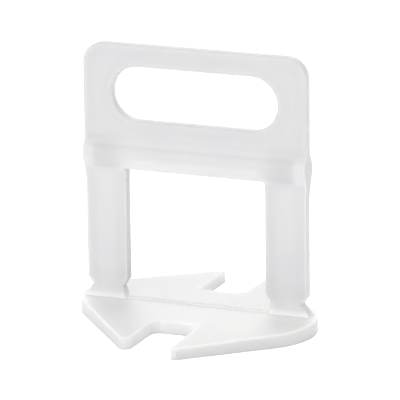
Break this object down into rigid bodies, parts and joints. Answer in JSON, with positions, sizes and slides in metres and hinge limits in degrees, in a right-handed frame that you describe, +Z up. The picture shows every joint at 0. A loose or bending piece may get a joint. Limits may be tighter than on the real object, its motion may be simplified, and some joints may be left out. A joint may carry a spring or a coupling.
{
  "type": "tile levelling clip",
  "caption": "Moulded break-off clip that levels floor tiles: flat hooked base, two notched legs around a wedge window, thick shoulder bar and a handle with a finger slot.",
  "frame": {"origin": "middle of the underside of the base, straight under the middle of the upright", "axes": "+Z up out of the tile joint, X along the joint and the width of the upright, Y across the joint"},
  "size_m": [0.0492, 0.0512, 0.0529],
  "materials": {
    "milky_plastic": "milky translucent, moulded satin"
  },
  "bodies": {
    "root": {"levelling_clip": "milky_plastic"}
  },
  "joints": []
}
